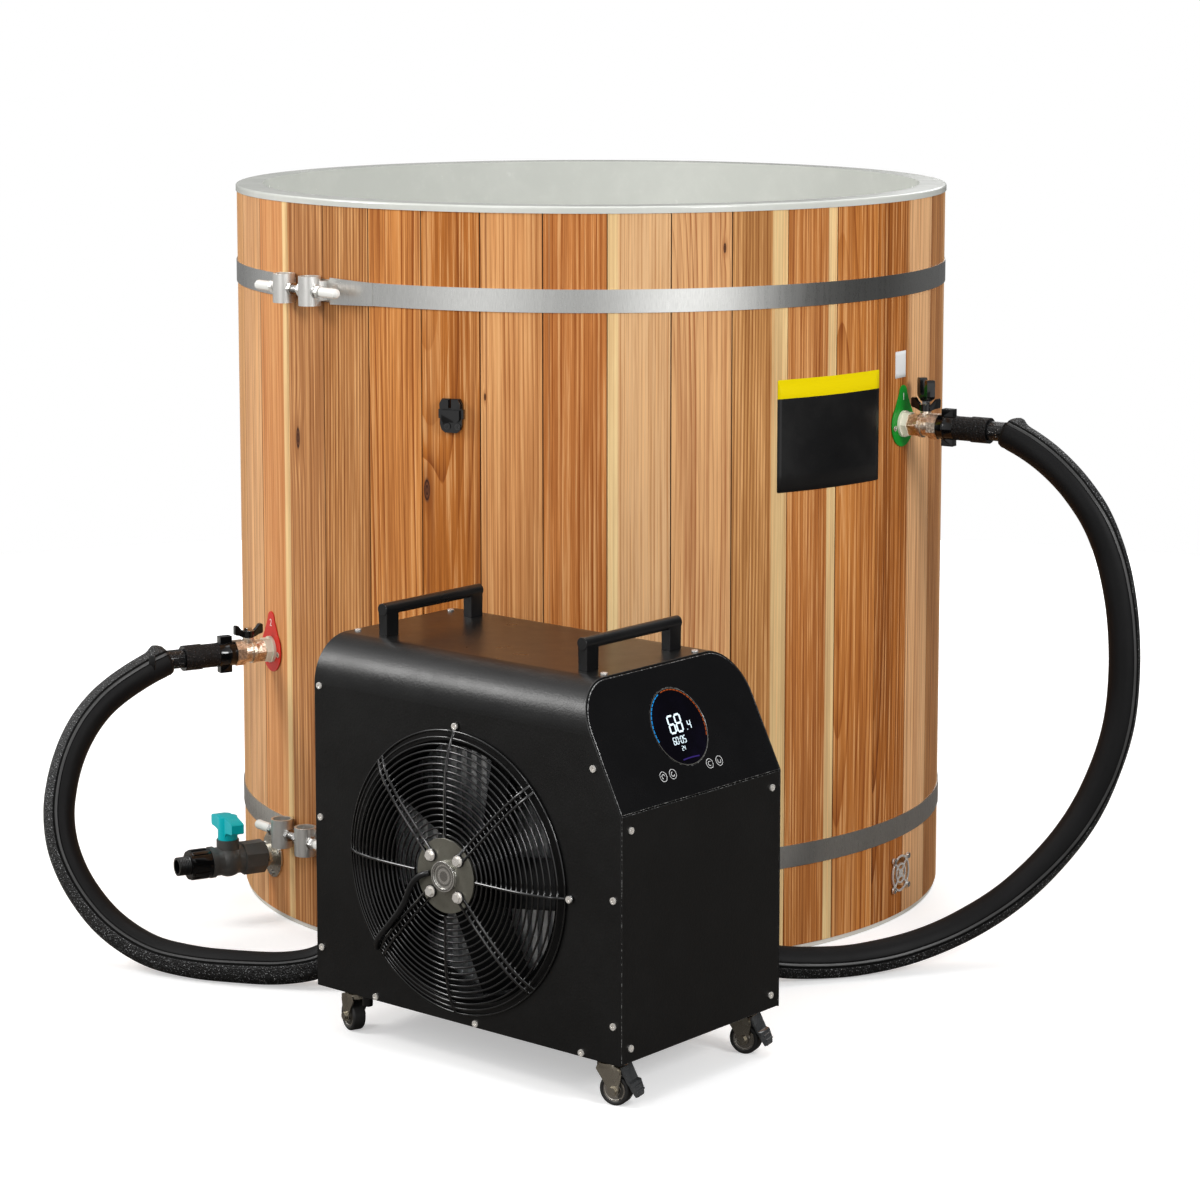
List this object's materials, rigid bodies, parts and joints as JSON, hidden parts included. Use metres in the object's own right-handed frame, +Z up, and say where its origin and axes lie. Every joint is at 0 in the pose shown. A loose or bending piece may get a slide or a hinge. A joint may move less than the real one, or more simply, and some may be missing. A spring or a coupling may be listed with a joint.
{
  "type": "cold plunge tub with chiller",
  "caption": "Round cedar-clad cold plunge tub with steel hoops, shut-off valves and a drain, joined by jacketed hoses to a wheeled water chiller.",
  "frame": {"origin": "middle of the underside of the tub's base disc, on the floor", "axes": "+Z up along the tub's axis; -Y toward the side where the chiller stands; +X toward the inlet's side, to the right as seen from the chiller"},
  "size_m": [1.4443, 1.5731, 1],
  "materials": {
    "cedar": "oiled, fine upright grain",
    "liner_plastic": "smooth, softly glossy",
    "foam": "rigid foam, hidden",
    "base_plastic": "matt",
    "stainless": "brushed along the band",
    "bright_steel": "turned, bright",
    "screw_steel": "polished",
    "white_plastic": "soft vinyl",
    "green_plastic": "smooth",
    "red_plastic": "smooth",
    "ivory_plastic": "moulded",
    "brass": "forged, bead blasted",
    "black_plastic": "moulded, faintly grained",
    "grey_plastic": "moulded",
    "teal_plastic": "moulded",
    "braided_hose": "fine braid",
    "hose_jacket": "woven sleeve over foam",
    "black_powder_coat": "fine textured powder coat",
    "black_gloss": "high gloss",
    "display_glass": "clear window over a dark display",
    "black_wire": "coated wire",
    "motor_grey": "satin paint",
    "fan_plastic": "moulded",
    "fin_aluminium": "bare fins",
    "pump_paint": "satin paint",
    "zinc_steel": "bright zinc plate",
    "tyre_rubber": "smooth tread",
    "pedal_paint": "satin paint"
  },
  "bodies": {
    "tub": {"staves": "cedar", "liner": "liner_plastic", "foam_jacket": "foam", "base_disc": "base_plastic", "hoops": "stainless", "hoop_lugs": "stainless", "tension_rods": "bright_steel", "tension_nuts": "bright_steel", "rod_caps": "white_plastic", "inlet_plate": "green_plastic", "outlet_plate": "red_plastic", "wall_screws": "screw_steel", "bulkhead_fittings": "ivory_plastic", "inlet_valve_body": "brass", "outlet_valve_body": "brass", "drain_flange": "stainless", "drain_valve_body": "grey_plastic", "drain_union_nut": "black_plastic", "hose_couplings": "black_plastic", "hose_tails": "braided_hose", "inlet_hose": "hose_jacket", "outlet_hose": "hose_jacket", "strap_clip": "black_plastic", "vent_guard": "screw_steel", "cabinet_wrap": "black_powder_coat", "base_pan": "black_powder_coat", "front_panel": "black_powder_coat", "rear_panel": "black_powder_coat", "control_bezel": "black_gloss", "display_lens": "display_glass", "carry_handles": "black_plastic", "fan_guard": "black_wire", "fan_shroud": "black_plastic", "fan_motor": "motor_grey", "condenser": "fin_aluminium", "compressor": "pump_paint", "evaporator": "grey_plastic", "pump": "pump_paint", "water_ports": "black_plastic", "power_inlet": "black_plastic", "cabinet_screws": "screw_steel", "caster_plates": "zinc_steel"},
    "inlet_valve_handle": {"inlet_handle": "black_plastic", "inlet_ball": "bright_steel"},
    "outlet_valve_handle": {"outlet_handle": "black_plastic", "outlet_ball": "bright_steel"},
    "drain_valve_handle": {"drain_handle": "teal_plastic", "drain_ball": "white_plastic"},
    "fan": {"fan_rotor": "fan_plastic"},
    "caster_fl": {"caster_fork_fl": "zinc_steel"},
    "wheel_fl": {"wheel_fl": "tyre_rubber"},
    "brake_fl": {"brake_pedal_fl": "pedal_paint"},
    "caster_fr": {"caster_fork_fr": "zinc_steel"},
    "wheel_fr": {"wheel_fr": "tyre_rubber"},
    "brake_fr": {"brake_pedal_fr": "pedal_paint"},
    "caster_rl": {"caster_fork_rl": "zinc_steel"},
    "wheel_rl": {"wheel_rl": "tyre_rubber"},
    "caster_rr": {"caster_fork_rr": "zinc_steel"},
    "wheel_rr": {"wheel_rr": "tyre_rubber"}
  },
  "joints": [
    {"name": "inlet_valve_turn", "type": "hinge", "parent": "tub", "child": "inlet_valve_handle", "pos_m": [0.45012, -0.29008, 0.69], "axis": [0, 0, 1], "range_deg": [-90, 0]},
    {"name": "outlet_valve_turn", "type": "hinge", "parent": "tub", "child": "outlet_valve_handle", "pos_m": [-0.46836, -0.25962, 0.374], "axis": [0, 0, 1], "range_deg": [-90, 0]},
    {"name": "drain_valve_turn", "type": "hinge", "parent": "tub", "child": "drain_valve_handle", "pos_m": [-0.49917, -0.27103, 0.084], "axis": [0, 0, 1], "range_deg": [0, 90]},
    {"name": "fan_spin", "type": "hinge", "parent": "tub", "child": "fan", "pos_m": [-0.14077, -0.88722, 0.242], "axis": [-0.6468, -0.7627, 0], "continuous": true},
    {"name": "caster_fl_swivel", "type": "hinge", "parent": "tub", "child": "caster_fl", "pos_m": [0.02091, -1.02434, 0.046], "axis": [0, 0, 1], "continuous": true},
    {"name": "wheel_fl_roll", "type": "hinge", "parent": "caster_fl", "child": "wheel_fl", "pos_m": [0.02988, -1.02877, 0.019], "axis": [0.4431, 0.8965, 0], "continuous": true},
    {"name": "brake_fl_press", "type": "hinge", "parent": "caster_fl", "child": "brake_fl", "pos_m": [0.03526, -1.03143, 0.0414], "axis": [0.4431, 0.8965, 0], "range_deg": [0, 8]},
    {"name": "caster_fr_swivel", "type": "hinge", "parent": "tub", "child": "caster_fr", "pos_m": [0.17873, -0.83825, 0.046], "axis": [0, 0, 1], "continuous": true},
    {"name": "wheel_fr_roll", "type": "hinge", "parent": "caster_fr", "child": "wheel_fr", "pos_m": [0.18769, -0.84268, 0.019], "axis": [0.4431, 0.8965, 0], "continuous": true},
    {"name": "brake_fr_press", "type": "hinge", "parent": "caster_fr", "child": "brake_fr", "pos_m": [0.19307, -0.84534, 0.0414], "axis": [0.4431, 0.8965, 0], "range_deg": [0, 8]},
    {"name": "caster_rl_swivel", "type": "hinge", "parent": "tub", "child": "caster_rl", "pos_m": [-0.28873, -0.76175, 0.046], "axis": [0, 0, 1], "continuous": true},
    {"name": "wheel_rl_roll", "type": "hinge", "parent": "caster_rl", "child": "wheel_rl", "pos_m": [-0.29368, -0.75306, 0.019], "axis": [-0.8686, -0.4955, 0], "continuous": true},
    {"name": "caster_rr_swivel", "type": "hinge", "parent": "tub", "child": "caster_rr", "pos_m": [-0.13091, -0.57566, 0.046], "axis": [0, 0, 1], "continuous": true},
    {"name": "wheel_rr_roll", "type": "hinge", "parent": "caster_rr", "child": "wheel_rr", "pos_m": [-0.12913, -0.56582, 0.019], "axis": [-0.9839, 0.1788, 0], "continuous": true}
  ]
}
